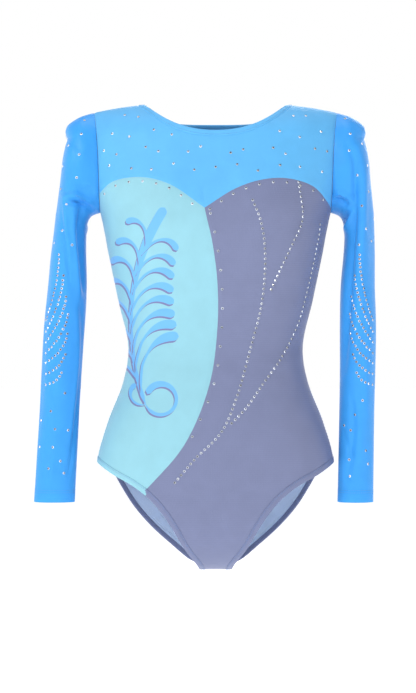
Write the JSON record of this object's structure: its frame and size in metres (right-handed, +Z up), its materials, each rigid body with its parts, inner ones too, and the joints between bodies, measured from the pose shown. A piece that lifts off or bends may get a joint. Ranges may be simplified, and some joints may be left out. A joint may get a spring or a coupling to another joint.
{
  "type": "long-sleeved gymnastics leotard",
  "caption": "Long-sleeved stretch leotard with a sweetheart yoke, a swirling two-colour front, high leg openings and rows of flat-back crystals.",
  "frame": {"origin": "lowest point of the gusset, on the centre line and in the plane of the side seams", "axes": "+Z up towards the neck, +X towards the wearer's left, -Y towards the front"},
  "size_m": [0.4876, 0.2362, 0.6507],
  "materials": {
    "yoke_knit": "satin stretch knit",
    "aqua_knit": "satin stretch knit with a sublimated scroll print",
    "grey_knit": "satin stretch knit",
    "elastic": "matte",
    "lining_knit": "matte",
    "seam_thread": "matte",
    "label_satin": "satin, blank",
    "crystal": "faceted, foil backed"
  },
  "bodies": {
    "bodice": {"front_yoke": "yoke_knit", "back_yoke": "yoke_knit", "right_sleeve_cap": "yoke_knit", "left_sleeve_cap": "yoke_knit", "neck_binding": "yoke_knit", "front_right_panel": "aqua_knit", "front_left_panel": "grey_knit", "back_body_panel": "grey_knit", "right_leg_binding": "grey_knit", "left_leg_binding": "grey_knit", "neck_elastic": "elastic", "right_leg_elastic": "elastic", "left_leg_elastic": "elastic", "gusset_lining": "lining_knit", "right_side_seam": "seam_thread", "left_side_seam": "seam_thread", "right_shoulder_seam": "seam_thread", "left_shoulder_seam": "seam_thread", "right_armhole_seam": "seam_thread", "left_armhole_seam": "seam_thread", "sweetheart_seam": "seam_thread", "centre_front_seam": "seam_thread", "neck_label": "label_satin", "yoke_crystals": "crystal", "sweetheart_crystals": "crystal", "centre_seam_crystals": "crystal", "panel_row_crystals": "crystal", "right_cap_crystals": "crystal", "left_cap_crystals": "crystal"},
    "right_sleeve_body": {"right_sleeve": "yoke_knit", "right_cuff_hem": "yoke_knit", "right_sleeve_crystals": "crystal"},
    "left_sleeve_body": {"left_sleeve": "yoke_knit", "left_cuff_hem": "yoke_knit", "left_sleeve_crystals": "crystal"}
  },
  "joints": [
    {"name": "right_shoulder", "type": "hinge", "parent": "bodice", "child": "right_sleeve_body", "pos_m": [-0.17, 0, 0.6], "axis": [0, 1, 0], "range_deg": [0, 75], "deforming": ["right_sleeve_cap", "right_cap_crystals"]},
    {"name": "left_shoulder", "type": "hinge", "parent": "bodice", "child": "left_sleeve_body", "pos_m": [0.17, 0, 0.6], "axis": [0, -1, 0], "range_deg": [0, 75], "deforming": ["left_sleeve_cap", "left_cap_crystals"]}
  ]
}
